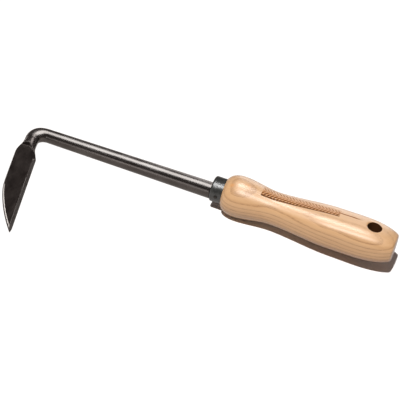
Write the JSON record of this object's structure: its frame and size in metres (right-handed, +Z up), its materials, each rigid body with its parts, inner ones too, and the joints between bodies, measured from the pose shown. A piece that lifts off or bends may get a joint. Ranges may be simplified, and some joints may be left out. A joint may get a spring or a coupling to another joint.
{
  "type": "hand hoe",
  "caption": "Short-handled hand hoe with a turned wooden grip, a capped ferrule and a round steel shank bent back into a pointed knife-shaped blade.",
  "frame": {"origin": "on the table the tool lies on, under the middle of its bounding box", "axes": "+X along the shank and handle towards the butt, +Z up from the table, close to the axis of the hanging hole; the blade points to -Y"},
  "size_m": [0.3066, 0.1364, 0.0357],
  "materials": {
    "ash_wood": "satin clear lacquer over pale straight-grained ash",
    "black_lacquer": "semi-gloss black lacquer, lightly scuffed",
    "pin_steel": "darkened steel",
    "shank_steel": "dark drawn steel bar with a smooth oiled sheen",
    "blade_steel": "dark forged steel with fine grinding marks and bright ground bevels"
  },
  "bodies": {
    "root": {"handle": "ash_wood", "ferrule": "black_lacquer", "ferrule_pin": "pin_steel", "shank": "shank_steel", "blade": "blade_steel"}
  },
  "joints": []
}
